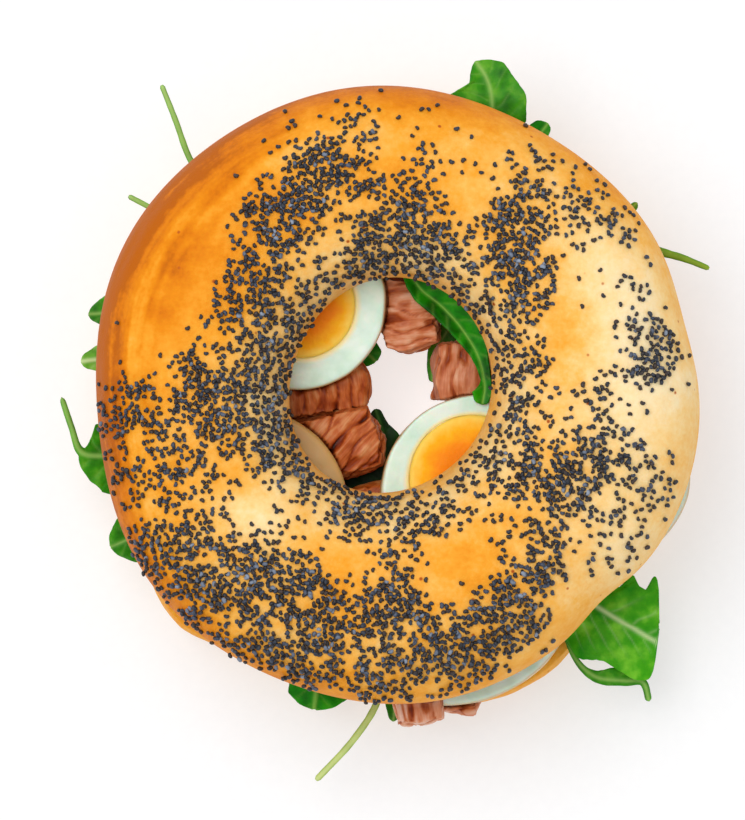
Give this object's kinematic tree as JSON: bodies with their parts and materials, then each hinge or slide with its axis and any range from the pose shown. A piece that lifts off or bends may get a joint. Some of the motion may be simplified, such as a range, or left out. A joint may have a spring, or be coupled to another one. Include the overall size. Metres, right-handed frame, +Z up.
{
  "type": "bagel sandwich",
  "caption": "Poppy seed bagel sandwich, cut across and filled with flaked tuna, sliced boiled egg and rocket leaves that stick out round its rim.",
  "frame": {"origin": "centre of the whole sandwich's box, on the table under the flat base", "axes": "+Z up, square to the cut between the halves; +Y towards the top of the picture, the way the sandwich is longest with its leaves; +X to the picture's right"},
  "size_m": [0.121, 0.1342, 0.0583],
  "materials": {
    "crust": "baked crust",
    "tuna": "moist flakes",
    "egg_white": "moist and smooth",
    "egg_yolk": "soft and matt",
    "rocket": "fresh leaf",
    "stalk": "fresh stalk"
  },
  "bodies": {
    "root": {"bun_bottom": "crust", "bun_top": "crust", "tuna": "tuna", "egg_white_left": "egg_white", "egg_white_right": "egg_white", "egg_white_front": "egg_white", "egg_white_rim_front": "egg_white", "egg_white_rim_right": "egg_white", "egg_yolk_left": "egg_yolk", "egg_yolk_right": "egg_yolk", "egg_yolk_front": "egg_yolk", "egg_yolk_rim_front": "egg_yolk", "egg_yolk_rim_right": "egg_yolk", "leaf_back": "rocket", "leaf_back_small": "rocket", "leaf_front": "rocket", "leaf_front_left": "rocket", "leaf_front_small": "rocket", "leaf_hole_front": "rocket", "leaf_hole_left": "rocket", "leaf_hole_right": "rocket", "leaf_hole_upper": "rocket", "leaf_left_lower": "rocket", "leaf_left_stalk": "rocket", "leaf_left_upper": "rocket", "leaf_right_front": "rocket", "leaf_right_small": "rocket", "stalk_back_long": "stalk", "stalk_back_short": "stalk", "stalk_front": "stalk", "stalk_right": "stalk", "stalk_right_front": "stalk"}
  },
  "joints": []
}
